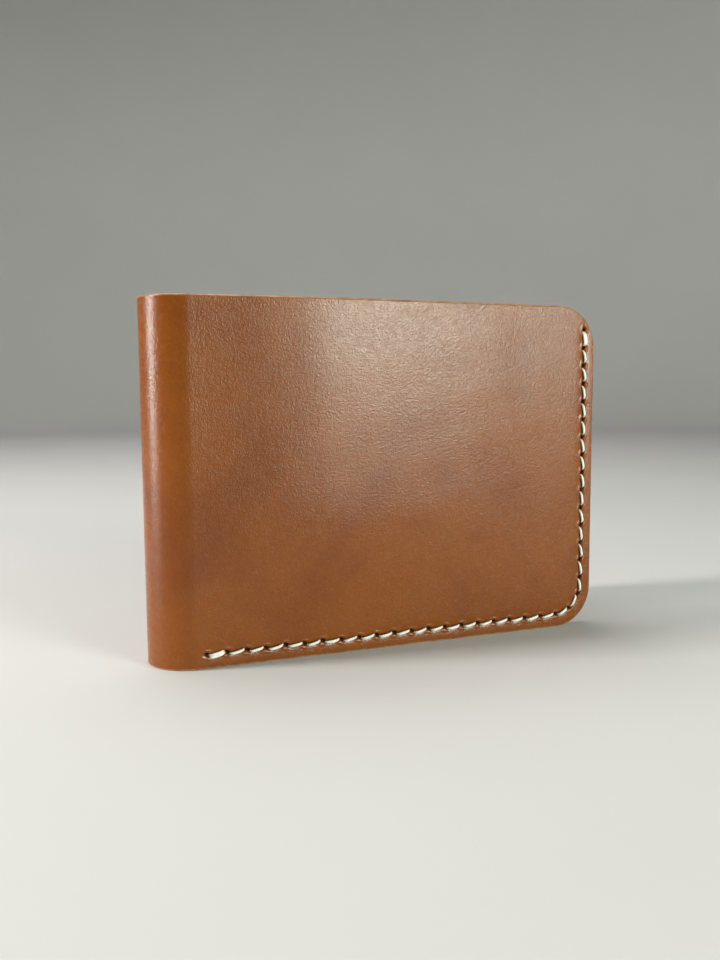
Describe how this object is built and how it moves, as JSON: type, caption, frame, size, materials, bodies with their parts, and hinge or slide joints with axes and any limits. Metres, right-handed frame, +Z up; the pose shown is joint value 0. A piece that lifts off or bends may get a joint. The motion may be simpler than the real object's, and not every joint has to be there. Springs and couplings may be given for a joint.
{
  "type": "bifold wallet",
  "caption": "Leather bifold wallet that folds flat along a round spine, with a cash pocket and stepped card slots in each half.",
  "frame": {"origin": "bottom centre of the wallet's box, standing on its long edge, slightly open", "axes": "+Z up along the fold line of the spine, +X from the spine towards the opening edges, +Y from the front half towards the rear half"},
  "size_m": [0.1226, 0.045, 0.09],
  "materials": {
    "cover_leather": "smooth vegetable-tanned leather, waxed, satin",
    "pocket_leather": "thin vegetable-tanned leather, satin",
    "thread": "waxed off-white thread"
  },
  "bodies": {
    "rear_half": {"rear_cover": "cover_leather", "rear_cash_panel": "pocket_leather", "rear_upper_slot_panel": "pocket_leather", "rear_middle_slot_panel": "pocket_leather", "rear_card_pocket": "pocket_leather", "rear_outer_seam_thread": "thread", "rear_inner_seam_thread": "thread", "rear_upper_slot_thread": "thread", "rear_middle_slot_thread": "thread"},
    "spine_1": {"spine_strip_1": "cover_leather"},
    "spine_2": {"spine_strip_2": "cover_leather"},
    "spine_3": {"spine_strip_3": "cover_leather"},
    "spine_4": {"spine_strip_4": "cover_leather"},
    "spine_5": {"spine_strip_5": "cover_leather"},
    "front_half": {"front_cover": "cover_leather", "front_cash_panel": "pocket_leather", "front_upper_slot_panel": "pocket_leather", "front_middle_slot_panel": "pocket_leather", "front_card_pocket": "pocket_leather", "front_outer_seam_thread": "thread", "front_inner_seam_thread": "thread", "front_upper_slot_thread": "thread", "front_middle_slot_thread": "thread"}
  },
  "joints": [
    {"name": "fold", "type": "hinge", "parent": "rear_half", "child": "spine_1", "pos_m": [-0.05423, 0.00892, 0.045], "axis": [0, 0, -1], "range_deg": [-1, 28]},
    {"name": "fold_2", "type": "hinge", "parent": "spine_1", "child": "spine_2", "pos_m": [-0.05804, 0.00635, 0.045], "axis": [0, 0, -1], "range_deg": [-1, 28]},
    {"name": "fold_3", "type": "hinge", "parent": "spine_2", "child": "spine_3", "pos_m": [-0.06019, 0.0023, 0.045], "axis": [0, 0, -1], "range_deg": [-1, 28]},
    {"name": "fold_4", "type": "hinge", "parent": "spine_3", "child": "spine_4", "pos_m": [-0.06019, -0.0023, 0.045], "axis": [0, 0, -1], "range_deg": [-1, 28]},
    {"name": "fold_5", "type": "hinge", "parent": "spine_4", "child": "spine_5", "pos_m": [-0.05804, -0.00635, 0.045], "axis": [0, 0, -1], "range_deg": [-1, 28]},
    {"name": "fold_6", "type": "hinge", "parent": "spine_5", "child": "front_half", "pos_m": [-0.05423, -0.00892, 0.045], "axis": [0, 0, -1], "range_deg": [-1, 28]}
  ],
  "couplings": [
    {"joint": "fold_2", "follows": "fold", "ratio": 1},
    {"joint": "fold_3", "follows": "fold", "ratio": 1},
    {"joint": "fold_4", "follows": "fold", "ratio": 1},
    {"joint": "fold_5", "follows": "fold", "ratio": 1},
    {"joint": "fold_6", "follows": "fold", "ratio": 1}
  ]
}
